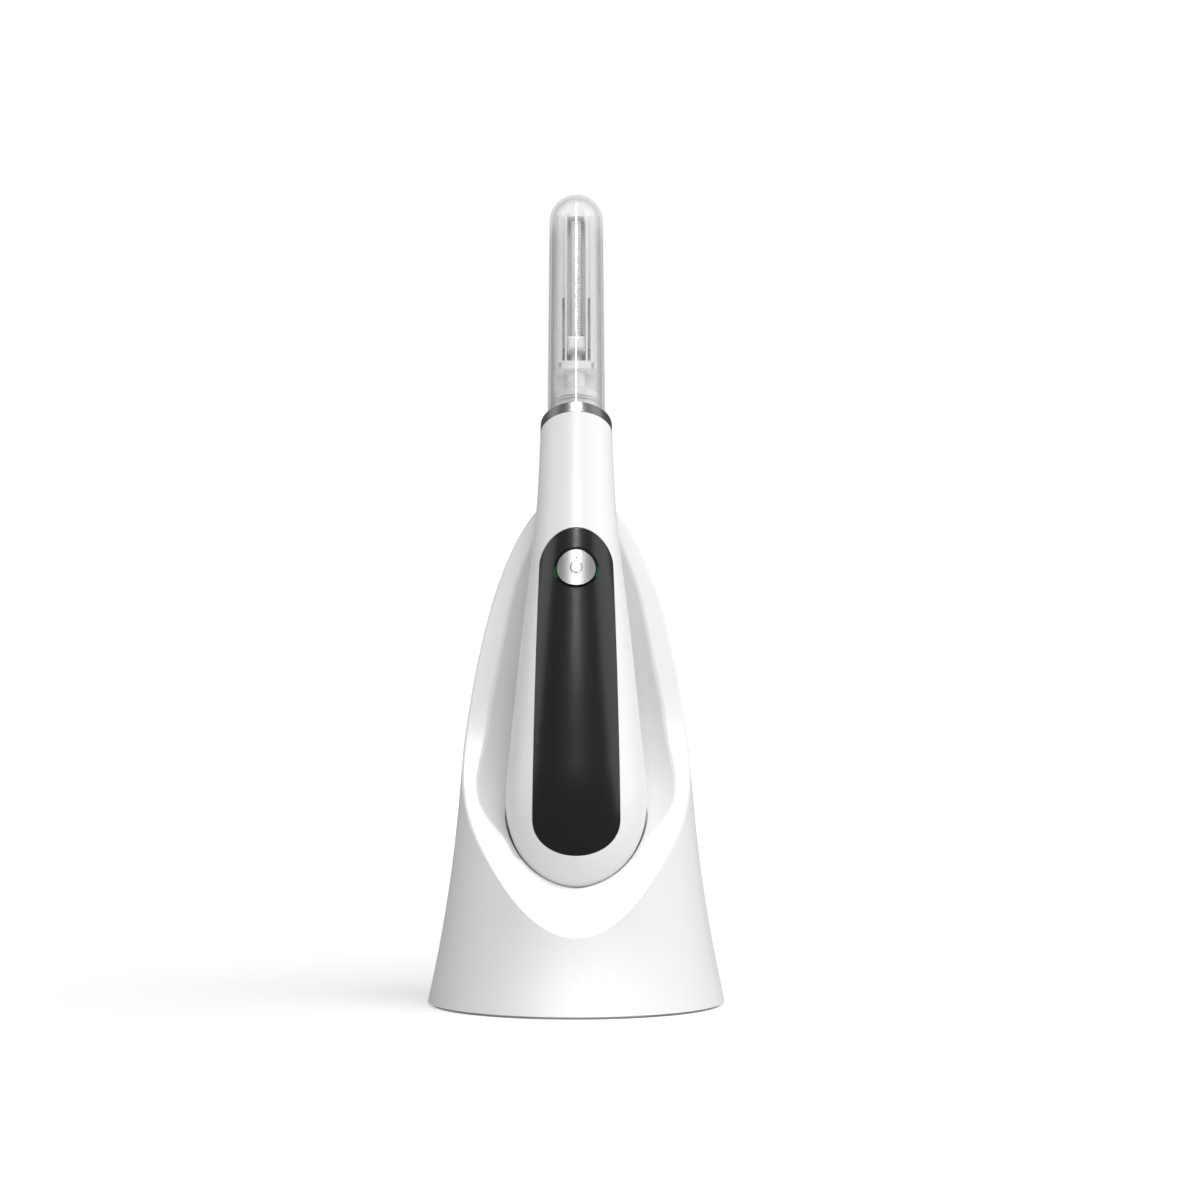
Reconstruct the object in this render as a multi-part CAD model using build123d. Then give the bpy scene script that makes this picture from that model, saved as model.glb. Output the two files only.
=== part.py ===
"""A cordless handheld wand with a clear, round-ended head, leaning back in a flared charging stand.

Millimetres, +Z up. The origin is the centre of the foot pad's underside, the front faces -Y and +X is
to the right. The wand is drawn upright in its own frame, whose height is measured along its axis from
the widest part of the grip, and is then leaned back into the stand.
"""
from build123d import *
from math import cos, radians, sin, tan
import os

# Stand
PAD_THICK = 0.8
PAD_RADIUS = 44.4
STAND_WALL = 2.6
BASE_THICK = 2.5
# Outer radius of the stand at each height: a bell-shaped foot under an almost straight body.
STAND_OUTLINE = ((45.6, PAD_THICK), (41.7, 20), (38.4, 41), (35.5, 69), (33.3, 100), (31.5, 160))
STAND_TOP = 153.5
# The sloping cut across the front of the stand, seen from the side: lip first, then the long rim.
RIM_LINE = ((-45, 16.5), (-35.7, 32.5), (-24.9, 47.8), (-10, 64.5), (2.5, 83), (9.5, 100), (18, 124),
            (25.3, 145), (33, 167))
RIM_SLOPE = 55.0
# Rounding of the rim's outer edge, of the long edges where the trough meets the rim, and of the top.
RIM_ROUND = 0.8
TROUGH_ROUND = 2.0
TROUGH_EDGE = 128.0
TOP_ROUND = 0.4
FOOT_CLEAR = 24.0

# Wand: lean, and the point of its axis at the widest part of the grip
LEAN = 20.2
AXIS_Y = -17.3
AXIS_Z = 64.0
SHELL_WALL = 2.6
SHELL_SPLIT_Y = 3.5
GRIP_WIDTH = 42.8
GRIP_DEPTH = 36.0
END_LENGTH = 30.0
# Height along the axis, half width and half depth of the grip above its widest part.
GRIP_TAPER = ((0, GRIP_WIDTH / 2, GRIP_DEPTH / 2), (6, 21.1, 17.9), (14, 20.4, 17.6), (31, 18.8, 16.9),
              (51, 16.9, 15.7), (77, 13.95, 14.0), (97, 12.2, 12.6), (119, 11.3, 11.5), (128, 11.1, 11.3))
END_ANGLES = (86, 68, 46, 23)

# Front panel, button and its light ring
PANEL_TOP = 82.7
PANEL_TOP_RADIUS = 11.3
PANEL_BOTTOM = -21.7
PANEL_BOTTOM_RISE = 11.2
PANEL_BOTTOM_HALF = 13.1
PANEL_DEPTH = 1.6
BUTTON_HEIGHT = 69.2
BUTTON_RADIUS = 5.95
BUTTON_PROUD = 0.3
BUTTON_TRAVEL = 0.6
BUTTON_TILT = 3.8
LIGHT_INNER = 6.4
LIGHT_OUTER = 6.9

# Collar and clear head
COLLAR_SLANT = 15.0
COLLAR_BOTTOM = 119.3
COLLAR_TOP = 122.5
COLLAR_BORE = 8.6
SLEEVE_FOOT_RADIUS = 9.15
SLEEVE_TIP_RADIUS = 8.6
SLEEVE_WALL = 0.9
SLEEVE_DOME = 193.5
NECK_RADIUS = 7.9
NECK_TOP = 133.0
POST_RADIUS = 2.9
BACK_FRONT = 1.2
PLATE_BOTTOM = 140.1
PLATE_TOP = 142.8
RAIL_TOP = 193.9
CHANNEL_TOP = 195.5
TIP_TOP = 198.9
FRAME_RADIUS = 7.45
FRAME_FRONT = -4.4
SCREW_RADIUS = 1.9
JOURNAL_RADIUS = 1.5
TIP_JOURNAL_RADIUS = 1.2
CARRIAGE_BOTTOM = 146.5
CARRIAGE_HEIGHT = 5.0
WINDOW_BOTTOM = 143.5
WINDOW_TOP = 165.3
# Each side groove is deep up to here, and a shallow step above it.
GROOVE_TOP = 164.9
GROOVE_FRONT = -3.4

# Inside the grip
BATTERY_RADIUS = 9.0
BATTERY_LENGTH = 65.0
BATTERY_BOTTOM = -16.0
BATTERY_Y = 1.0
MOTOR_RADIUS = 6.0
MOTOR_BOTTOM = 84.0
MOTOR_LENGTH = 20.0
GEARBOX_LENGTH = 9.0
BOARD_FRONT = -9.4
BOARD_BACK = -8.2
COIL_HEIGHT = 2.0

HUGE = 400.0
WAND = Location((0, AXIS_Y, AXIS_Z), (-LEAN, 0, 0))


def block(x0, x1, y0, y1, z0, z1):
    """A box given by its limits along each axis."""
    size = (x1 - x0, y1 - y0, z1 - z0)
    middle = ((x0 + x1) / 2, (y0 + y1) / 2, (z0 + z1) / 2)
    return Pos(*middle) * Box(*size)


def rod(radius, z0, z1, x=0.0, y=0.0):
    """A round bar that stands along Z."""
    return Pos(x, y, (z0 + z1) / 2) * Cylinder(radius, z1 - z0)


def tube(outer, inner, z0, z1):
    return rod(outer, z0, z1) - rod(inner, z0 - 1, z1 + 1)


def rod_y(radius, y0, y1, x, z):
    """A round bar that lies along Y."""
    return Pos(x, (y0 + y1) / 2, z) * Rot(90, 0, 0) * Cylinder(radius, y1 - y0)


def slanted_space_above(height):
    """Everything above the collar's slanted plane that crosses the axis at this height."""
    return Pos(0, 0, height) * Rot(-COLLAR_SLANT, 0, 0) * Pos(0, 0, HUGE / 2) * Box(HUGE, HUGE, HUGE)


def slanted_space_below(height):
    return Pos(0, 0, height) * Rot(-COLLAR_SLANT, 0, 0) * Pos(0, 0, -HUGE / 2) * Box(HUGE, HUGE, HUGE)


# ---- shared outer forms -------------------------------------------------------------------------

def grip_solid(grow=0.0):
    """The grip's whole outer form, grown (or shrunk) evenly: rounded end, then the long taper."""
    sections = []
    for angle in END_ANGLES:
        height = -(END_LENGTH + grow) * sin(radians(angle))
        width = (GRIP_WIDTH / 2 + grow) * cos(radians(angle))
        depth = (GRIP_DEPTH / 2 + grow) * cos(radians(angle))
        sections.append(Pos(0, 0, height) * Ellipse(width, depth))
    for height, width, depth in GRIP_TAPER:
        sections.append(Pos(0, 0, height) * Ellipse(width + grow, depth + grow))
    return loft(sections)


def stand_solid(inset=0.0, bottom=PAD_THICK):
    """The stand's round body before it is cut, made smaller by inset."""
    points = [(radius - inset, height) for radius, height in STAND_OUTLINE]
    foot_radius, foot_height = points[0]
    top_radius, top_height = points[-1]
    side = Spline(*points)
    edges = [
        side,
        Line((top_radius, top_height), (0, top_height)),
        Line((0, top_height), (0, foot_height)),
        Line((0, foot_height), (foot_radius, foot_height)),
    ]
    body = revolve(Plane.XZ * make_face(edges), Axis.Z)
    return body & block(-HUGE, HUGE, -HUGE, HUGE, bottom, STAND_TOP - inset)


def rim_space(inset=0.0):
    """The space in front of the rim line, moved back into the stand by inset."""
    start, end = RIM_LINE[0], RIM_LINE[-1]
    edges = [
        Spline(*RIM_LINE),
        Line(end, (end[0], HUGE)),
        Line((end[0], HUGE), (-HUGE, HUGE)),
        Line((-HUGE, HUGE), (-HUGE, start[1])),
        Line((-HUGE, start[1]), start),
    ]
    space = extrude(Plane.YZ * make_face(edges), amount=HUGE / 2, both=True)
    return Pos(0, inset * sin(radians(RIM_SLOPE)), -inset * cos(radians(RIM_SLOPE))) * space


# Height along the wand's axis, distance of the rim behind the axis, half width of the trough at the
# rim, and how deep the trough runs behind the rim.
TROUGH = ((-20, -2.2, 17.0, 0.6), (-12.7, 0.0, 23.2, 2.0), (-5, 3.3, 27.3, 3.8), (0, 5.7, 28.8, 5.0),
          (16, 11.2, 28.2, 7.0), (31, 12.9, 26.5, 8.2), (50, 12.9, 23.3, 7.6), (68, 12.4, 20.3, 6.0),
          (81, 12.1, 16.5, 4.1), (92, 11.9, 12.0, 2.6), (106, 11.7, 9.0, 1.9))


def trough_solid(grow=0.0):
    """The shallow trough that the back of the grip lies in: half ellipses set on the rim."""
    sections = []
    for height, rim, half, deep in TROUGH:
        wide = half / cos(radians(30)) + grow
        sections.append(Pos(0, rim - deep, height) * Ellipse(wide, 2 * deep + grow))
    return WAND * loft(sections)


# Height along the wand's axis, half width, half depth and shift to the back of the pocket's upper part.
POCKET_TAPER = ((-13, 19.8, 16.8, 0.0), (-6, 21.9, 17.6, 1.4), (1, 22.7, 17.2, 3.0), (10, 22.2, 16.3, 4.0),
                (22, 20.9, 15.3, 4.6), (36, 19.6, 14.5, 5.0))
POCKET_GAP = 0.45


def pocket_solid(grow=0.0):
    """The recess for the grip's lower end: tight round the end, roomier beside the widest part."""
    sections = []
    for angle in END_ANGLES[:3]:
        height = -(END_LENGTH + POCKET_GAP + grow) * sin(radians(angle))
        width = (GRIP_WIDTH / 2 + POCKET_GAP + grow) * cos(radians(angle))
        depth = (GRIP_DEPTH / 2 + POCKET_GAP + grow) * cos(radians(angle))
        sections.append(Pos(0, 0, height) * Ellipse(width, depth))
    for height, width, depth, shift in POCKET_TAPER:
        sections.append(Pos(0, shift, height) * Ellipse(width + grow, depth + grow))
    return WAND * loft(sections)


# ---- stand --------------------------------------------------------------------------------------

BOSS_RING = 38.4
BOSS_RADIUS = 3.4
BOSS_TOP = 14.0
SCREW_HOLE = 1.2
CUP_WALL = 1.6
INLET_HEIGHT = 14.4
INLET_WIDTH = 9.0
INLET_THICK = 3.3
BOARD_BOTTOM = 11.0
BOARD_THICK = 1.6
TICK_WIDTH = 0.6
TICK_Z = (35.8, 38.6)


def boss_places():
    return [Rot(0, 0, 45 + 90 * i) * Pos(BOSS_RING, 0, 0) for i in range(4)]


def stand_hollow():
    """The space inside the stand's wall, behind the rim and the trough."""
    room = stand_solid(STAND_WALL) - rim_space(STAND_WALL) - trough_solid(STAND_WALL)
    return room


def inlet_slot(width, thick, y0, y1):
    outline = Plane.XZ * Pos(0, INLET_HEIGHT) * RectangleRounded(width, thick, thick / 2 - 0.05)
    return Pos(0, y1, 0) * extrude(outline, amount=y1 - y0)


def edges_like(solid, length):
    """The solid's edges of about this length."""
    return [edge for edge in solid.edges() if abs(edge.length - length) < 1.5]


def rounded_stand():
    """The stand's outer form: cut on the rim line, hollowed by the trough, its long edges rounded."""
    body = (stand_solid() - rim_space()).solids()[0]
    rim = [edge for edge in body.edges() if edge.length > 60 and FOOT_CLEAR < (edge @ 0.5).Z < STAND_TOP - 0.1]
    body = (body.fillet(RIM_ROUND, rim) - trough_solid()).solids()[0]
    body = body.fillet(TROUGH_ROUND, edges_like(body, TROUGH_EDGE))
    top = [edge for edge in body.edges() if (edge @ 0.5).Z > STAND_TOP - 0.1]
    return body.fillet(TOP_ROUND, top)


def make_stand_shell(hollow):
    shell = rounded_stand() - pocket_solid() - hollow
    for place in boss_places():
        boss = place * (rod(BOSS_RADIUS, PAD_THICK + BASE_THICK, BOSS_TOP) - rod(SCREW_HOLE, 0, BOSS_TOP - 1))
        inside = boss & stand_solid(STAND_WALL / 2)
        shell = shell + inside
    shell = shell - inlet_slot(INLET_WIDTH + 1, INLET_THICK + 1, 34, 50)
    return shell - tick_space(0.05)


def tick_space(grow):
    """A narrow upright slot in the lip under the grip's end."""
    half = TICK_WIDTH / 2 + grow
    return block(-half, half, -36, -30.4, TICK_Z[0] - grow, TICK_Z[1] + grow)


def make_light_pipe():
    """A thin bar set flush in the lip, which shows the stand's charging light."""
    piece = tick_space(0) - rim_space(0.05) - pocket_solid(0.05)
    return piece


def make_pocket_cup(hollow):
    """The cup behind the pocket's mouth, fixed to the inside of the shell."""
    cup = (pocket_solid(CUP_WALL) - pocket_solid()) & hollow
    return cup.solids().sort_by(SortBy.VOLUME)[-1]


def make_seat_pad():
    """A soft ring in the bottom of the cup that the wand's end stands on."""
    ring = WAND * tube(9.0, 4.0, -40, -20)
    gap = pocket_solid(-0.02) - WAND * grip_solid(0.06)
    pad = gap & ring & WAND * block(-HUGE, HUGE, 0.5, HUGE, -40, -20)
    return pad.solids().sort_by(SortBy.VOLUME)[-1]


def make_stand_base():
    top = PAD_THICK + BASE_THICK
    plate = rod(42.0, PAD_THICK, top)
    for place in boss_places():
        plate -= place * rod(1.5, 0, 10)
        plate -= place * rod(2.7, 0, PAD_THICK + 1.7)
    for x in (-16, 16):
        for y in (12, 30):
            plate += rod(2.2, top, BOARD_BOTTOM, x, y)
            plate -= rod(0.8, top + 1, BOARD_BOTTOM + 1, x, y)
    return plate


def make_base_screws():
    screws = [
        place * (rod(2.5, PAD_THICK + 0.1, PAD_THICK + 1.6) + rod(1.15, PAD_THICK + 1.6, 12))
        for place in boss_places()
    ]
    return Compound(screws)


def make_ballast():
    """A steel plate low in the front of the stand, which keeps it from tipping."""
    top = PAD_THICK + BASE_THICK
    plate = rod(33, top + 0.1, top + 5.1)
    return plate & block(-HUGE, HUGE, -HUGE, 6, 0, HUGE)


def make_stand_board():
    board = block(-20, 20, 9, 34, BOARD_BOTTOM + 0.05, BOARD_BOTTOM + BOARD_THICK)
    for x in (-16, 16):
        for y in (12, 30):
            board -= rod(1.0, 0, 30, x, y)
    top = BOARD_BOTTOM + BOARD_THICK
    board += block(-12, -5, 16, 23, top, top + 1.2)
    board += block(3, 8, 15, 20, top, top + 2.4)
    return board


def make_board_screws():
    top = BOARD_BOTTOM + BOARD_THICK
    screws = []
    for x in (-16, 16):
        for y in (12, 30):
            screws.append(rod(1.7, top + 0.05, top + 1.2, x, y) + rod(0.75, top - 5, top + 0.05, x, y))
    return Compound(screws)


def make_power_inlet():
    """A small rounded power socket in the back of the stand."""
    outer = inlet_slot(INLET_WIDTH, INLET_THICK, 33.8, 41.2)
    mouth = inlet_slot(INLET_WIDTH - 0.7, INLET_THICK - 0.7, 35.5, 42)
    tongue = block(-3.4, 3.4, 35.4, 40.6, INLET_HEIGHT - 0.35, INLET_HEIGHT + 0.35)
    return outer - mouth + tongue


def charging_stack(y0, y1, outer, inner):
    """A flat round piece in the wand's frame, facing the back of the grip."""
    disc = rod_y(outer, y0, y1, 0, COIL_HEIGHT)
    if inner:
        disc -= rod_y(inner, y0 - 1, y1 + 1, 0, COIL_HEIGHT)
    return WAND * disc


def make_coil_bracket():
    """The plate that holds the charging coil against the back of the cup."""
    plate = block(-13.4, 13.4, 25.6, 27.2, -9, 13)
    for x in (-12.1, 12.1):
        plate += block(x - 1.3, x + 1.3, 17.0, 25.6, -4, 8)
    return WAND * plate - pocket_solid(CUP_WALL + 0.05)


# ---- wand: grip ---------------------------------------------------------------------------------

def panel_prism(grow=0.0):
    """The front panel's outline, run straight through the front half of the grip."""
    top_centre = PANEL_TOP - PANEL_TOP_RADIUS
    top_half = PANEL_TOP_RADIUS + grow
    low = PANEL_BOTTOM + PANEL_BOTTOM_RISE
    low_half = PANEL_BOTTOM_HALF + grow
    waist = (12.1 + grow, 45)
    edges = [
        ThreePointArc((-top_half, top_centre), (0, PANEL_TOP + grow), (top_half, top_centre)),
        ThreePointArc((top_half, top_centre), waist, (low_half, low)),
        EllipticalCenterArc((0, low), low_half, PANEL_BOTTOM_RISE + grow, 180, arc_size=180),
        ThreePointArc((-low_half, low), (-waist[0], waist[1]), (-top_half, top_centre)),
    ]
    return extrude(Plane.XZ * make_face(edges), amount=60)


def button_bar(radius, low, high):
    """A round bar on the button's axis, from low to high above the grip's surface."""
    face = Location((0, -14.55, BUTTON_HEIGHT), (90 - BUTTON_TILT, 0, 0))
    return face * rod(radius, low, high)


def make_handle_shells():
    body = grip_solid() - grip_solid(-SHELL_WALL)
    body = body & slanted_space_below(COLLAR_BOTTOM)
    front = body & block(-HUGE, HUGE, -HUGE, SHELL_SPLIT_Y, -HUGE, HUGE)
    rear = body & block(-HUGE, HUGE, SHELL_SPLIT_Y, HUGE, -HUGE, HUGE)
    recess = panel_prism(0.12) - grip_solid(-PANEL_DEPTH - 0.15)
    front = front - recess - button_bar(LIGHT_OUTER + 0.15, -6, 6)
    for x, height in chassis_screw_places():
        boss = rod_y(2.0, -20, -8.6, x, height) & grip_solid(-SHELL_WALL + 0.3)
        front = front + boss - rod_y(0.85, -11.5, 0, x, height)
    return front, rear


def make_front_panel():
    plate = panel_prism() & (grip_solid(-0.05) - grip_solid(-PANEL_DEPTH))
    return plate - button_bar(LIGHT_OUTER + 0.1, -6, 6)


def make_power_button():
    cap = button_bar(BUTTON_RADIUS, -2.4, 3) & grip_solid(BUTTON_PROUD)
    return cap + button_bar(1.5, -2.95, -2.4)


def make_light_ring():
    ring = button_bar(LIGHT_OUTER, -2.3, 3) - button_bar(LIGHT_INNER, -6, 6)
    return ring & grip_solid(-0.25)


def make_button_switch():
    base = block(-2.6, 2.6, BOARD_FRONT - 1.0, BOARD_FRONT, BUTTON_HEIGHT - 2.6, BUTTON_HEIGHT + 2.6)
    return base + rod_y(1.2, BOARD_FRONT - 1.35, BOARD_FRONT - 1.0, 0, BUTTON_HEIGHT)


def make_main_board():
    board = block(-6.2, 6.2, BOARD_FRONT, BOARD_BACK, -6, 76)
    board += block(-3, 3, BOARD_FRONT - 1.0, BOARD_FRONT, 24, 30)
    board += block(-2, 2, BOARD_FRONT - 0.8, BOARD_FRONT, 44, 47)
    board += block(-3.5, 3.5, BOARD_FRONT - 2.4, BOARD_FRONT, 2, 7)
    return board


def chassis_screw_places():
    return [(x, height) for x in (-8.4, 8.4) for height in (8, 46)]


def make_chassis():
    """The tray that carries the battery, the board and the motor."""
    tray = block(-11, 11, BOARD_BACK + 0.05, 3, -18, 82) & grip_solid(-SHELL_WALL - 0.5)
    tray -= rod(BATTERY_RADIUS + 0.1, BATTERY_BOTTOM - 0.1, BATTERY_BOTTOM + BATTERY_LENGTH + 0.1, 0, BATTERY_Y)
    tray -= rod(4.5, 52, 79)
    for x, height in chassis_screw_places():
        tray -= rod_y(1.8, -7.3, 3, x, height)
        tray -= rod_y(0.95, -12, 3, x, height)
    return tray


def make_chassis_screws():
    screws = [
        rod_y(1.6, -7.25, -6.1, x, height) + rod_y(0.8, -11.4, -7.25, x, height)
        for x, height in chassis_screw_places()
    ]
    return Compound(screws)


def make_battery():
    top = BATTERY_BOTTOM + BATTERY_LENGTH
    cell = rod(BATTERY_RADIUS, BATTERY_BOTTOM, top - 0.8, 0, BATTERY_Y)
    return cell + rod(2.8, top - 0.8, top, 0, BATTERY_Y)


def make_motor():
    top = MOTOR_BOTTOM + MOTOR_LENGTH
    can = rod(MOTOR_RADIUS, MOTOR_BOTTOM, top)
    return can + rod(2.4, MOTOR_BOTTOM - 1.5, MOTOR_BOTTOM)


def make_gearbox():
    bottom = MOTOR_BOTTOM + MOTOR_LENGTH
    case = rod(MOTOR_RADIUS + 0.2, bottom, bottom + GEARBOX_LENGTH)
    return case + rod(1.9, bottom + GEARBOX_LENGTH, bottom + GEARBOX_LENGTH + 0.6)


def make_motor_cradle():
    """Two rings that centre the motor and gearbox in the neck of the grip."""
    cradle = block(-9, 9, -9, SHELL_SPLIT_Y, 88, 110) & grip_solid(-SHELL_WALL - 0.15)
    cradle -= rod(MOTOR_RADIUS + 0.3, 80, 120)
    cradle -= block(-HUGE, HUGE, -HUGE, HUGE, 94, 101)
    spine = block(-9, 9, -9, -6.4, 88, 110) & grip_solid(-SHELL_WALL - 0.15)
    return cradle + spine


def make_shaft_coupling():
    bottom = MOTOR_BOTTOM + MOTOR_LENGTH + GEARBOX_LENGTH + 0.9
    sleeve = rod(2.8, bottom, bottom + 7)
    return sleeve - rod(JOURNAL_RADIUS, bottom + 3, bottom + 8)


# ---- wand: head ---------------------------------------------------------------------------------

def make_collar():
    band = grip_solid(0.02) & slanted_space_above(COLLAR_BOTTOM + 0.06) & slanted_space_below(COLLAR_TOP)
    return band - rod(COLLAR_BORE, 100, 140)


def make_head_neck():
    """The white neck inside the collar, with the post that carries the head frame."""
    spigot = rod(COLLAR_BORE - 0.15, 114.2, 126) & slanted_space_below(COLLAR_TOP + 2.0)
    neck = rod(NECK_RADIUS, 118, NECK_TOP)
    neck = fillet(neck.faces().sort_by(Axis.Z)[-1].edges(), 2.0)
    post = rod(POST_RADIUS, NECK_TOP - 2, PLATE_BOTTOM)
    back = block(-6.3, 6.3, BACK_FRONT, 5.0, NECK_TOP - 2, PLATE_BOTTOM) & rod(FRAME_RADIUS, 120, 150)
    body = spigot + neck + post + back
    groove = tube(NECK_RADIUS + 2, NECK_RADIUS - 0.7, 128.2, 129.8)
    body -= groove
    body -= rod(JOURNAL_RADIUS + 0.08, 110, 150)
    body -= rod(3.2, 110, 122.5)
    return body - rod(3.0, 124.0, 126.2)


def make_sleeve_seal():
    """The sealing ring that the clear sleeve pushes on to."""
    return Pos(0, 0, 129) * Torus(NECK_RADIUS - 0.25, 0.42)


def make_shaft_seal():
    return tube(2.95, JOURNAL_RADIUS + 0.04, 124.1, 126.1)


def make_head_frame():
    """Two rails and a U-shaped channel standing on a plate, inside the clear sleeve."""
    round_limit = rod(FRAME_RADIUS, 130, 200)
    plate = block(-6.55, 6.55, FRAME_FRONT, 5.2, PLATE_BOTTOM + 0.02, PLATE_TOP)
    web = block(-6.35, 6.35, 2.4, 3.4, PLATE_TOP, RAIL_TOP)
    body = plate + web
    for side in (-1, 1):
        inner, outer = sorted((side * 4.5, side * 6.35))
        body += block(inner, outer, FRAME_FRONT, 3.4, PLATE_TOP, RAIL_TOP)
        inner, outer = sorted((side * 3.0, side * 3.6))
        body += block(inner, outer, FRAME_FRONT, 3.4, PLATE_TOP, CHANNEL_TOP)
    body += block(-3.6, 3.6, 2.4, 3.4, RAIL_TOP, CHANNEL_TOP + 2.0)
    body = body & round_limit
    for side in (-1, 1):
        inner, outer = sorted((side * 3.6, side * 4.5))
        body += block(inner, outer, GROOVE_FRONT, 2.4, GROOVE_TOP, RAIL_TOP)
        inner, outer = sorted((side * 2.5, side * 3.65))
        body -= block(inner, outer, -1.6, 1.0, WINDOW_BOTTOM, WINDOW_TOP)
        inner, outer = sorted((side * 4.7, side * 5.6))
        body -= block(inner, outer, FRAME_FRONT - 1, FRAME_FRONT + 1.5, PLATE_BOTTOM - 1, PLATE_TOP - 0.7)
    return body - rod(JOURNAL_RADIUS + 0.08, 130, 145)


def make_lead_screw():
    screw = rod(JOURNAL_RADIUS - 0.02, 117.0, 143.6)
    screw += rod(SCREW_RADIUS, 143.6, 193.4)
    return screw + rod(TIP_JOURNAL_RADIUS, 193.4, 197.6)


def make_carriage():
    """The nut that rides the screw between the channel's walls, with an ear in each side groove."""
    top = CARRIAGE_BOTTOM + CARRIAGE_HEIGHT
    nut = block(-2.85, 2.85, -3.5, 2.2, CARRIAGE_BOTTOM, top)
    nut += block(-4.3, 4.3, -1.3, 0.7, CARRIAGE_BOTTOM + 1.7, CARRIAGE_BOTTOM + 3.3)
    return nut - rod(SCREW_RADIUS + 0.08, 140, 160)


def make_emitter():
    """The small lit block on the front of the carriage."""
    top = CARRIAGE_BOTTOM + CARRIAGE_HEIGHT
    lens = block(-2.25, 2.25, -4.6, -3.5, CARRIAGE_BOTTOM + 0.4, top - 0.2)
    return fillet(lens.edges().filter_by(Axis.X).group_by(Axis.Y)[0], 0.6)


def make_tip_bearing():
    """The block at the top of the channel that holds the screw's upper end."""
    piece = block(-2.5, 2.5, -3.6, 2.38, 193.6, TIP_TOP)
    piece = fillet(piece.faces().sort_by(Axis.Z)[-1].edges(), 0.8)
    return piece - rod(TIP_JOURNAL_RADIUS + 0.06, 190, 197.8)


def make_sleeve():
    """The clear round-ended sleeve over the head, cut on the collar's slant at its foot."""
    def form(inset, foot):
        foot_radius = SLEEVE_FOOT_RADIUS - inset
        tip_radius = SLEEVE_TIP_RADIUS - inset
        edges = [
            Line((0, foot), (foot_radius, foot)),
            Line((foot_radius, foot), (tip_radius, SLEEVE_DOME)),
            CenterArc((0, SLEEVE_DOME), tip_radius, 0, 90),
            Line((0, SLEEVE_DOME + tip_radius), (0, foot)),
        ]
        return revolve(Plane.XZ * make_face(edges), Axis.Z)

    body = form(0, 112) - form(SLEEVE_WALL, 111.9) - rod(COLLAR_BORE, 100, 113)
    body = body & slanted_space_above(COLLAR_TOP + 0.12)
    return body - (rod(COLLAR_BORE - 0.05, 112, 130) & slanted_space_below(COLLAR_TOP + 2.2))


# ---- build --------------------------------------------------------------------------------------

def main():
    hollow = stand_hollow()
    handle_front, handle_rear = make_handle_shells()
    stand_nodes = {
        "stand_shell": make_stand_shell(hollow),
        "stand_base": make_stand_base(),
        "foot_pad": rod(PAD_RADIUS, 0, PAD_THICK),
        "base_screws": make_base_screws(),
        "ballast_plate": make_ballast(),
        "stand_board": make_stand_board(),
        "board_screws": make_board_screws(),
        "power_inlet": make_power_inlet(),
        "light_pipe": make_light_pipe(),
        "pocket_cup": make_pocket_cup(hollow),
        "seat_pad": make_seat_pad(),
        "charging_coil": charging_stack(22.1, 24.3, 9.5, 3.5),
        "coil_shield": charging_stack(24.4, 25.5, 10.5, 0),
        "coil_bracket": make_coil_bracket(),
    }
    wand_nodes = {
        "handle_front": handle_front,
        "handle_rear": handle_rear,
        "front_panel": make_front_panel(),
        "power_button": make_power_button(),
        "light_ring": make_light_ring(),
        "button_switch": make_button_switch(),
        "main_board": make_main_board(),
        "battery_cell": make_battery(),
        "chassis": make_chassis(),
        "chassis_screws": make_chassis_screws(),
        "motor": make_motor(),
        "gearbox": make_gearbox(),
        "motor_cradle": make_motor_cradle(),
        "shaft_coupling": make_shaft_coupling(),
        "collar_ring": make_collar(),
        "head_neck": make_head_neck(),
        "sleeve_seal": make_sleeve_seal(),
        "shaft_seal": make_shaft_seal(),
        "head_frame": make_head_frame(),
        "lead_screw": make_lead_screw(),
        "carriage": make_carriage(),
        "emitter": make_emitter(),
        "tip_bearing": make_tip_bearing(),
        "clear_sleeve": make_sleeve(),
    }
    nodes = dict(stand_nodes)
    for name, piece in wand_nodes.items():
        nodes[name] = WAND * piece
    nodes["receiving_coil"] = charging_stack(11.6, 13.4, 8.0, 3.0)
    nodes["receiving_shield"] = charging_stack(10.6, 11.5, 8.6, 0)
    for name, piece in nodes.items():
        export_step(piece, f"parts/{name}.step")


os.makedirs("parts", exist_ok=True)
main()
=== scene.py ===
# Looks for the cordless wand on its charging stand: materials, the drive screw's thread, the mark on
# the button, and the studio.
import math

import bmesh
import bpy
from mathutils import Matrix, Vector


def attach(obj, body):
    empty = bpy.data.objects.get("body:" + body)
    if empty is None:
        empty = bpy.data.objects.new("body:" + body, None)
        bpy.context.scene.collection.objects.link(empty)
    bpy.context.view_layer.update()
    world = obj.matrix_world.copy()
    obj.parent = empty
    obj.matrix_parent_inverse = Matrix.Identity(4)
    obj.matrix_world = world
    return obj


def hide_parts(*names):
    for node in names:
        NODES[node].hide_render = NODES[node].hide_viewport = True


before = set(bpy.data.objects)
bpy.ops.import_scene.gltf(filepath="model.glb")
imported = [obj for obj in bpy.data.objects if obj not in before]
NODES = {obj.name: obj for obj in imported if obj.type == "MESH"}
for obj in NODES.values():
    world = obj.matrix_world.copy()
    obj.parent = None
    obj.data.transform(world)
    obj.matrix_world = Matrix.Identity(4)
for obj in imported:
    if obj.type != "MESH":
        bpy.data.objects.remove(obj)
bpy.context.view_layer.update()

MM = 0.001

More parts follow.
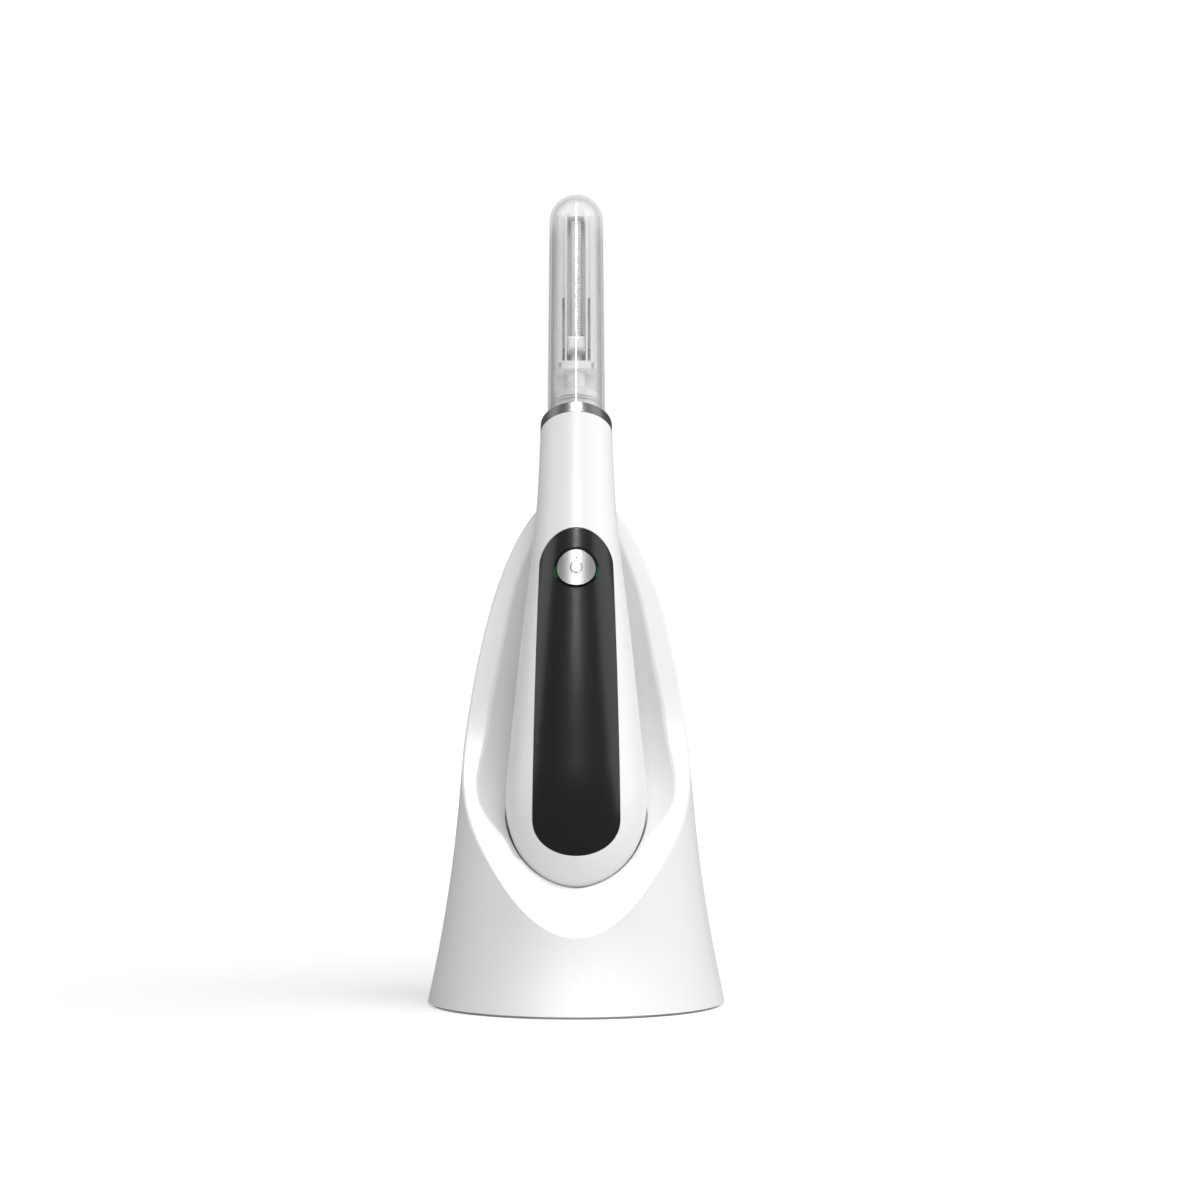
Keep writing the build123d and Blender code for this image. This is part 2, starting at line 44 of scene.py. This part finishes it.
# The wand's own frame, as in the CAD model: Z is the height along its axis, from the widest part of
# the grip, and Y points to its back. The wand's measures below are in this frame, in millimetres.
LEAN = math.radians(20.2)
AXIS_Y, AXIS_Z = -17.3, 64.0
WAND = Matrix.Translation((0, AXIS_Y * MM, AXIS_Z * MM)) @ Matrix.Rotation(-LEAN, 4, "X")
BUTTON_HEIGHT = 69.2
SLEEVE_DOME = 193.5

# Drive screw: a lower journal, the threaded bar, and a thinner journal at the tip
SCREW_BOTTOM, BAR_BOTTOM, BAR_TOP, SCREW_TOP = 117.0, 143.6, 193.4, 197.6
JOURNAL_RADIUS, TIP_RADIUS = 1.48, 1.2
STEP_HEIGHT = 0.01
THREAD_BOTTOM, THREAD_TOP, THREAD_FADE = 144.6, 192.4, 0.6
THREAD_OUTER, THREAD_ROOT = 1.9, 1.6
THREAD_LEAD, THREAD_STARTS = 4.0, 4
CREST_SHARPNESS = 0.7
SCREW_SIDES, RING_SPACING = 40, 0.16

# Mark on the button: a ring broken at the top, with a dot above it
MARK_RADIUS, MARK_HALF_WIDTH, MARK_LIFT = 1.75, 0.17, 0.04
MARK_START, MARK_SWEEP, MARK_STEPS = 125, 290, 56
DOT_HEIGHT, DOT_RADIUS, DOT_SIDES = 3.1, 0.33, 14

# Brightness of the white room: what it casts on surfaces, and what reflections, clear parts and the
# camera see
AMBIENT_LEVEL, GLOSSY_LEVEL, CLEAR_LEVEL, BACKDROP_LEVEL = 0.18, 0.25, 0.7, 1.05

# Painted light of the floor: its glow is weaker beside the stand, a painted darkening round it, and
# stronger far from it; and the distances in metres where each is reached
NEAR_GLOW, FAR_GLOW = 0.42, 0.8
GLOW_START, GLOW_END = 0.12, 0.9

# Materials that the mesh pieces use
materials = {}


# ---- node material helpers ----------------------------------------------------------------------

class Mat:
    """A node material that is built step by step on a Principled shader."""

    def __init__(self, name, **values):
        self.material = bpy.data.materials.new(name)
        self.material.use_nodes = True
        self.tree = self.material.node_tree
        self.shader = self.tree.nodes["Principled BSDF"]
        self.set(**values)

    def set(self, **values):
        """Constant values on the shader's own sockets; a colour is given as three numbers."""
        for key, value in values.items():
            socket = self.shader.inputs[key.replace("_", " ")]
            socket.default_value = (*value, 1) if socket.type == "RGBA" else value

    def node(self, kind, **values):
        """A new node, with values for its sockets or its own settings."""
        made = self.tree.nodes.new(kind)
        for key, value in values.items():
            name = key.replace("_", " ")
            if name in made.inputs:
                made.inputs[name].default_value = value
            else:
                setattr(made, key, value)
        return made

    def link(self, source, target):
        """Links to a socket, or to the shader's socket of that name."""
        socket = self.shader.inputs[target] if isinstance(target, str) else target
        self.tree.links.new(source, socket)

    def place(self, in_wand=False, scale=(1, 1, 1)):
        """Position in metres, in the object's frame or in the wand's own upright frame."""
        point = self.node("ShaderNodeTexCoord").outputs["Object"]
        if in_wand:
            moved = self.node("ShaderNodeMapping", vector_type="TEXTURE")
            moved.inputs["Location"].default_value = WAND.translation
            moved.inputs["Rotation"].default_value = (-LEAN, 0, 0)
            self.link(point, moved.inputs["Vector"])
            point = moved.outputs["Vector"]
        if scale != (1, 1, 1):
            stretched = self.node("ShaderNodeMapping")
            stretched.inputs["Scale"].default_value = scale
            self.link(point, stretched.inputs["Vector"])
            point = stretched.outputs["Vector"]
        return point

    def parts(self, vector):
        """The X, Y and Z outputs of a vector."""
        made = self.node("ShaderNodeSeparateXYZ")
        self.link(vector, made.inputs["Vector"])
        return made.outputs

    def noise(self, vector, scale, detail=3.0, rough=0.5):
        made = self.node("ShaderNodeTexNoise", Scale=scale, Detail=detail, Roughness=rough)
        self.link(vector, made.inputs["Vector"])
        return made.outputs["Fac"]

    def spread(self, value, low, high, start=0.0, end=1.0):
        """The value, taken from start..end to low..high."""
        made = self.node("ShaderNodeMapRange", From_Min=start, From_Max=end, To_Min=low, To_Max=high)
        self.link(value, made.inputs["Value"])
        return made.outputs["Result"]

    def colours(self, factor, first, second):
        made = self.node("ShaderNodeMix", data_type="RGBA")
        made.inputs["A"].default_value = (*first, 1)
        made.inputs["B"].default_value = (*second, 1)
        self.link(factor, made.inputs["Factor"])
        return made.outputs["Result"]

    def maths(self, operation, first, second=0.0):
        """A sum on two values, each a number or a socket."""
        made = self.node("ShaderNodeMath", operation=operation)
        for socket, value in zip(made.inputs, (first, second)):
            if isinstance(value, (int, float)):
                socket.default_value = value
            else:
                self.link(value, socket)
        return made.outputs["Value"]

    def bump(self, height, depth):
        """Surface relief from a height pattern, depth metres deep."""
        made = self.node("ShaderNodeBump", Strength=1.0, Distance=depth)
        self.link(height, made.inputs["Height"])
        self.link(made.outputs["Normal"], "Normal")

    def paint(self, *targets):
        """Puts the material on CAD nodes, given by name, or on a piece."""
        for target in targets:
            data = NODES[target].data if isinstance(target, str) else target.data
            data.materials.clear()
            data.materials.append(self.material)


def moulded(name, colour, rough, vary=0.03, grain=9000.0, depth=0.000003, shade=0.015, **values):
    """Moulded plastic: a faint colour drift, slightly uneven roughness, and a fine surface grain."""
    mat = Mat(name, IOR=1.47, **values)
    point = mat.place()
    darker = tuple(c * (1 - shade) for c in colour)
    drift = mat.noise(point, 38.0, detail=2.0)
    smears = mat.noise(point, 420.0, detail=4.0, rough=0.6)
    mat.link(mat.colours(drift, darker, colour), "Base Color")
    mat.link(mat.spread(smears, rough - vary, rough + vary), "Roughness")
    mat.bump(mat.noise(point, grain, detail=2.0), depth)
    return mat


def metal(name, colour, rough, squeeze=(1, 1, 1), vary=0.08, depth=0.000002, grain=4000.0, **values):
    """Metal with fine brush lines, which lie across the direction that squeeze makes short."""
    mat = Mat(name, Metallic=1.0, **values)
    lines = mat.noise(mat.place(scale=squeeze), grain, detail=3.0, rough=0.6)
    darker = tuple(c * 0.86 for c in colour)
    mat.link(mat.colours(lines, darker, colour), "Base Color")
    mat.link(mat.spread(lines, rough - vary, rough + vary), "Roughness")
    mat.bump(lines, depth)
    return mat


# ---- materials of the CAD nodes -----------------------------------------------------------------

def paint_stand_and_grip():
    moulded("stand_plastic", (0.82, 0.82, 0.825), 0.36, depth=0.0000015).paint(
        "stand_shell", "stand_base", "pocket_cup")
    moulded("grip_plastic", (0.84, 0.84, 0.845), 0.3, vary=0.02, depth=0.000001).paint(
        "handle_front", "handle_rear")
    moulded("panel_plastic", (0.007, 0.007, 0.0072), 0.24, vary=0.02, grain=7000.0, depth=0.000002,
            Specular_IOR_Level=0.58).paint("front_panel")
    moulded("light_guide", (0.85, 0.86, 0.85), 0.3).paint("light_pipe")
    moulded("foot_rubber", (0.3, 0.3, 0.31), 0.75, vary=0.08, grain=2500.0, depth=0.00002,
            shade=0.1).paint("foot_pad")
    moulded("seat_silicone", (0.42, 0.43, 0.45), 0.6, vary=0.05, grain=3000.0,
            Sheen_Weight=0.2).paint("seat_pad", "shaft_seal")


def paint_head():
    nylon = {"Subsurface_Weight": 0.2, "Subsurface_Radius": (1, 1, 1), "Subsurface_Scale": 0.003}
    moulded("frame_plastic", (0.88, 0.88, 0.88), 0.42, vary=0.05, **nylon).paint(
        "head_frame", "head_neck", "tip_bearing")
    moulded("carriage_plastic", (0.74, 0.74, 0.74), 0.36).paint("carriage")
    materials["screw"] = moulded("screw_plastic", (0.92, 0.92, 0.92), 0.4, **nylon)
    materials["screw"].paint("lead_screw")
    moulded("clear_silicone", (0.78, 0.79, 0.79), 0.35, vary=0.05, grain=3000.0,
            Subsurface_Weight=0.3, Subsurface_Radius=(0.002, 0.002, 0.002),
            Subsurface_Scale=1.0).paint("sleeve_seal")
    lens = Mat("emitter_lens", Base_Color=(0.86, 0.86, 0.88), Coat_Weight=0.5)
    lens.link(lens.spread(lens.noise(lens.place(), 600.0), 0.2, 0.3), "Roughness")
    lens.paint("emitter")


def paint_sleeve():
    """The sleeve's thin clear resin: it veils what is behind it a little, and more at its edges."""
    mat = Mat("clear_resin", IOR=1.49, Specular_IOR_Level=1.0, Coat_Weight=1.0, Coat_Roughness=0.02)
    facing = mat.node("ShaderNodeLayerWeight", Blend=0.5).outputs["Facing"]
    height = mat.parts(mat.place(in_wand=True))["Z"]
    below_dome = mat.spread(height, 1.0, 0.5, (SLEEVE_DOME - 7) * MM, (SLEEVE_DOME + 2) * MM)
    edge = mat.maths("MULTIPLY", mat.spread(facing, 0.0, 1.0, 0.22, 0.52), below_dome)
    mat.link(mat.colours(edge, (0.8, 0.8, 0.805), (0.42, 0.42, 0.425)), "Base Color")
    mat.link(mat.spread(edge, 0.1, 0.46), "Alpha")
    mat.link(mat.spread(mat.noise(mat.place(), 200.0), 0.03, 0.06), "Roughness")
    mat.paint("clear_sleeve")


def paint_inner_parts():
    moulded("chassis_plastic", (0.22, 0.225, 0.235), 0.5, vary=0.06, grain=5000.0).paint(
        "chassis", "motor_cradle", "coil_bracket")
    moulded("cell_wrap", (0.03, 0.11, 0.2), 0.3, vary=0.06, grain=2600.0, depth=0.00001,
            shade=0.2).paint("battery_cell")
    moulded("coil_ferrite", (0.045, 0.043, 0.045), 0.6, vary=0.08, grain=2000.0, depth=0.00001,
            shade=0.3).paint("coil_shield", "receiving_shield")
    moulded("switch_body", (0.02, 0.02, 0.022), 0.45).paint("button_switch")


def paint_boards():
    """Circuit boards: green lacquer over a faint pattern of copper tracks and pads."""
    mat = Mat("board_lacquer", Roughness=0.3, Coat_Weight=0.5, Coat_Roughness=0.15)
    point = mat.place(in_wand=True)
    bricks = mat.node("ShaderNodeTexBrick", Scale=260.0, Mortar_Size=0.09, Mortar_Smooth=0.1)
    mat.link(point, bricks.inputs["Vector"])
    tracks = bricks.outputs["Fac"]
    lacquer = mat.spread(mat.noise(point, 300.0), 0.0, 0.25)
    mixed = mat.maths("ADD", lacquer, mat.spread(tracks, 0.0, 0.6))
    mat.link(mat.colours(mixed, (0.008, 0.075, 0.03), (0.05, 0.2, 0.07)), "Base Color")
    mat.bump(tracks, 0.00002)
    mat.paint("main_board", "stand_board")


def paint_metals():
    metal("collar_steel", (0.2, 0.198, 0.196), 0.27, squeeze=(1, 1, 26), grain=900.0,
          depth=0.000004, Anisotropic=0.6).paint("collar_ring")
    metal("button_metal", (0.37, 0.37, 0.374), 0.4, squeeze=(14, 1, 1), grain=900.0,
          depth=0.0000006, vary=0.04).paint("power_button")
    metal("machined_steel", (0.6, 0.6, 0.6), 0.28).paint(
        "shaft_coupling", "base_screws", "board_screws", "chassis_screws", "gearbox")
    metal("motor_can", (0.55, 0.55, 0.54), 0.34, squeeze=(1, 1, 8)).paint("motor")
    metal("ballast_steel", (0.33, 0.33, 0.34), 0.5, vary=0.15, depth=0.00001, grain=700.0).paint(
        "ballast_plate")
    metal("inlet_metal", (0.6, 0.6, 0.61), 0.3).paint("power_inlet")
    winding = metal("coil_winding", (0.72, 0.33, 0.16), 0.35, vary=0.05)
    turns = winding.node("ShaderNodeTexWave", bands_direction="Z", Scale=1400.0)
    winding.link(winding.place(in_wand=True), turns.inputs["Vector"])
    winding.bump(turns.outputs["Fac"], 0.00008)
    winding.paint("charging_coil", "receiving_coil")


def paint_light_ring():
    """The ring round the button: dark smoked lens, with two short green lit arcs at its sides."""
    mat = Mat("ring_lens", IOR=1.5, Roughness=0.35, Specular_IOR_Level=0.12,
              Emission_Color=(0.05, 0.8, 0.12))
    point = mat.place(in_wand=True)
    parts = mat.parts(point)
    across = mat.maths("ABSOLUTE", parts["X"])
    below = mat.maths("SUBTRACT", BUTTON_HEIGHT * MM, parts["Z"])
    angle = mat.maths("ARCTAN2", below, across)
    rising, falling = mat.spread(angle, 0, 1, -0.25, 0.0), mat.spread(angle, 1, 0, 0.25, 0.5)
    lit = mat.maths("MULTIPLY", rising, falling)
    smoke = mat.colours(mat.noise(point, 500.0), (0.008, 0.009, 0.008), (0.013, 0.014, 0.013))
    mat.link(smoke, "Base Color")
    mat.link(mat.maths("MULTIPLY", lit, 0.12), "Emission Strength")
    mat.paint("light_ring")


# ---- pieces -------------------------------------------------------------------------------------

def mesh_piece(name, body, verts, faces, material):
    """A smooth mesh given in the wand's frame in millimetres, set down in the object's frame."""
    mesh = bpy.data.meshes.new(name)
    mesh.from_pydata([WAND @ (Vector(v) * MM) for v in verts], [], faces)
    mesh.validate()
    tidy = bmesh.new()
    tidy.from_mesh(mesh)
    bmesh.ops.recalc_face_normals(tidy, faces=tidy.faces)
    tidy.to_mesh(mesh)
    tidy.free()
    for face in mesh.polygons:
        face.use_smooth = True
    piece = bpy.data.objects.new(name, mesh)
    bpy.context.scene.collection.objects.link(piece)
    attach(piece, body)
    material.paint(piece)
    return piece


def screw_radius(height, angle):
    """Radius of the drive screw at a height along the axis and an angle round it."""
    if height < BAR_BOTTOM:
        return JOURNAL_RADIUS
    if height > BAR_TOP:
        return TIP_RADIUS
    if height < THREAD_BOTTOM or height > THREAD_TOP:
        return THREAD_OUTER
    turn = (height / THREAD_LEAD - angle / (2 * math.pi)) * THREAD_STARTS
    crest = 0.5 + 0.5 * math.cos(2 * math.pi * turn)
    from_end = min(height - THREAD_BOTTOM, THREAD_TOP - height)
    fade = min(1.0, from_end / THREAD_FADE)
    return THREAD_OUTER - (THREAD_OUTER - THREAD_ROOT) * (1 - crest ** CREST_SHARPNESS) * fade


def make_drive_screw():
    """The drive screw with its real four-start rounded thread, and plain journals at both ends."""
    rings = int((THREAD_TOP - THREAD_BOTTOM) / RING_SPACING) + 1
    heights = [SCREW_BOTTOM, BAR_BOTTOM - STEP_HEIGHT, BAR_BOTTOM]
    heights += [THREAD_BOTTOM + RING_SPACING * k for k in range(rings)]
    heights += [BAR_TOP, BAR_TOP + STEP_HEIGHT, SCREW_TOP]
    verts, faces = [], []
    for height in heights:
        for k in range(SCREW_SIDES):
            angle = 2 * math.pi * k / SCREW_SIDES
            radius = screw_radius(height, angle)
            verts.append((radius * math.cos(angle), radius * math.sin(angle), height))
    for row in range(len(heights) - 1):
        start = row * SCREW_SIDES
        for k in range(SCREW_SIDES):
            first, second = start + k, start + (k + 1) % SCREW_SIDES
            faces.append((first, second, second + SCREW_SIDES, first + SCREW_SIDES))
    faces.append(tuple(range(SCREW_SIDES)))
    faces.append(tuple(len(verts) - 1 - k for k in range(SCREW_SIDES)))
    screw = mesh_piece("drive_screw", "screw", verts, faces, materials["screw"])
    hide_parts("lead_screw")


def button_point(x, z):
    """The point of the mark over the button's face that lies x across and z up from its middle."""
    start = WAND @ (Vector((x, -30.0, BUTTON_HEIGHT + z)) * MM)
    back = WAND.to_3x3() @ Vector((0, 1, 0))
    hit, place, _, _ = NODES["power_button"].ray_cast(start, back)
    if not hit:
        raise RuntimeError("the mark lies off the button's face")
    return WAND.inverted() @ (place - back * MARK_LIFT * MM) / MM


def make_button_mark():
    """A generic mark on the button: a ring broken at the top, with a dot above it."""
    verts, faces = [], []
    for k in range(MARK_STEPS + 1):
        angle = math.radians(MARK_START + MARK_SWEEP * k / MARK_STEPS)
        for radius in (MARK_RADIUS - MARK_HALF_WIDTH, MARK_RADIUS + MARK_HALF_WIDTH):
            verts.append(button_point(radius * math.cos(angle), radius * math.sin(angle)))
    for k in range(MARK_STEPS):
        faces.append((2 * k, 2 * k + 1, 2 * k + 3, 2 * k + 2))
    centre = len(verts)
    verts.append(button_point(0, DOT_HEIGHT))
    for k in range(DOT_SIDES):
        angle = 2 * math.pi * k / DOT_SIDES
        verts.append(button_point(DOT_RADIUS * math.cos(angle),
                                  DOT_HEIGHT + DOT_RADIUS * math.sin(angle)))
        faces.append((centre, centre + 1 + k, centre + 1 + (k + 1) % DOT_SIDES))
    ink = moulded("mark_ink", (0.2, 0.2, 0.2), 0.7, Specular_IOR_Level=0.1)
    mesh_piece("button_mark", "button", verts, faces, ink)


# ---- camera and studio --------------------------------------------------------------------------

def aim_at(obj, place, target):
    obj.location = place
    obj.rotation_euler = (Vector(target) - Vector(place)).to_track_quat("-Z", "Y").to_euler()


def make_camera():
    """Straight at the front and level; the object stands a little left of the picture's middle."""
    data = bpy.data.cameras.new("camera")
    data.sensor_width = 36
    data.lens = 108.9
    camera = bpy.data.objects.new("camera", data)
    bpy.context.scene.collection.objects.link(camera)
    aim_at(camera, (0, -1.117, 0.124), (0.0073, 0, 0.124))
    bpy.context.scene.camera = camera


def make_world():
    """White behind the object, softer light on its surfaces, and a darker room in reflections."""
    world = bpy.data.worlds.new("studio")
    bpy.context.scene.world = world
    world.use_nodes = True
    tree = world.node_tree
    background = tree.nodes["Background"]
    background.inputs["Color"].default_value = (1, 1, 1, 1)
    path = tree.nodes.new("ShaderNodeLightPath")
    strength = None
    for ray, level in (("Is Glossy Ray", GLOSSY_LEVEL), ("Is Transmission Ray", CLEAR_LEVEL),
                       ("Is Camera Ray", BACKDROP_LEVEL)):
        mix = tree.nodes.new("ShaderNodeMix")
        mix.inputs["A"].default_value = AMBIENT_LEVEL
        mix.inputs["B"].default_value = level
        tree.links.new(path.outputs[ray], mix.inputs["Factor"])
        if strength:
            tree.links.new(strength, mix.inputs["A"])
        strength = mix.outputs["Result"]
    tree.links.new(strength, background.inputs["Strength"])


def make_floor():
    """A pale floor whose painted light grows with distance: a weaker glow near the stand darkens the
    floor round it, and far off it runs into the backdrop.
    """
    bpy.ops.mesh.primitive_plane_add(size=60)
    floor = bpy.context.object
    floor.name = "floor"
    floor.visible_glossy = False
    mat = moulded("floor_paper", (0.65, 0.65, 0.65), 0.9, grain=3000.0, depth=0.00001,
                  Emission_Color=(1, 1, 1), Specular_IOR_Level=0.0)
    # Painted shade: the floor's glow is lower near the stand, so the floor is darker round it
    away = mat.node("ShaderNodeVectorMath", operation="LENGTH")
    mat.link(mat.place(), away.inputs["Vector"])
    glow = mat.spread(away.outputs["Value"], NEAR_GLOW, FAR_GLOW, GLOW_START, GLOW_END)
    mat.link(glow, "Emission Strength")
    mat.paint(floor)


def add_light(name, kind, power, target, place=(0, 0, 0), matte=True, glossy=True):
    """A light at place that points at target, and is seen by matte surfaces, in gloss, or both."""
    light = bpy.data.objects.new(name, bpy.data.lights.new(name, kind))
    bpy.context.scene.collection.objects.link(light)
    light.data.energy = power
    aim_at(light, place, target)
    light.visible_diffuse, light.visible_glossy = matte, glossy
    return light


def soft_box(name, power, size, place, target, **seen):
    light = add_light(name, "AREA", power, target, place, **seen)
    light.data.shape = "RECTANGLE"
    light.data.size, light.data.size_y = size
    return light


def make_lights():
    """Even top light, soft boxes at both sides, and narrow lights high in front for the streaks."""
    sun = add_light("top_light", "SUN", 2.1, target=(-0.28, 0.4, -1.0), glossy=False)
    sun.data.angle = math.radians(55)
    soft_box("right_box", 6.5, (1.2, 1.4), place=(1.5, -0.25, 0.9), target=(0, 0, 0.12))
    soft_box("left_box", 5, (1.0, 1.4), place=(-1.6, 0, 0.9), target=(0, 0, 0.12), matte=False)
    soft_box("high_strip", 34, (0.2, 0.76), place=(0, -0.69, 1.77), target=(0, 0, 0.17),
             matte=False)

    # The bright line down the sleeve and the collar; nothing else sees its light
    line = soft_box("line_light", 24, (0.14, 0.3), place=(0, -1.24, 1.465),
                    target=(0, 0.01, 0.215), matte=False)
    shone_on = bpy.data.collections.new("line_light_receivers")
    for name in ("clear_sleeve", "collar_ring"):
        shone_on.objects.link(NODES[name])
    line.light_linking.receiver_collection = shone_on

    # The bright patch low on the front of the stand
    foot = add_light("foot_light", "SPOT", 30, target=(0.002, -0.044, 0.003),
                     place=(0.02, -1.3, 0.25), glossy=False)
    foot.data.spot_blend = 1.0
    foot.data.spot_size = math.radians(2.1)
    foot.data.shadow_soft_size = 0.02

    soft_box("front_fill", 1.3, (0.8, 0.8), place=(-0.1, -1.3, 1.3), target=(0, 0, 0.1),
             glossy=False)


paint_stand_and_grip()
paint_head()
paint_sleeve()
paint_inner_parts()
paint_boards()
paint_metals()
paint_light_ring()
make_drive_screw()
make_button_mark()
make_camera()
bpy.context.scene.view_settings.view_transform = "Standard"
make_world()
make_floor()
make_lights()
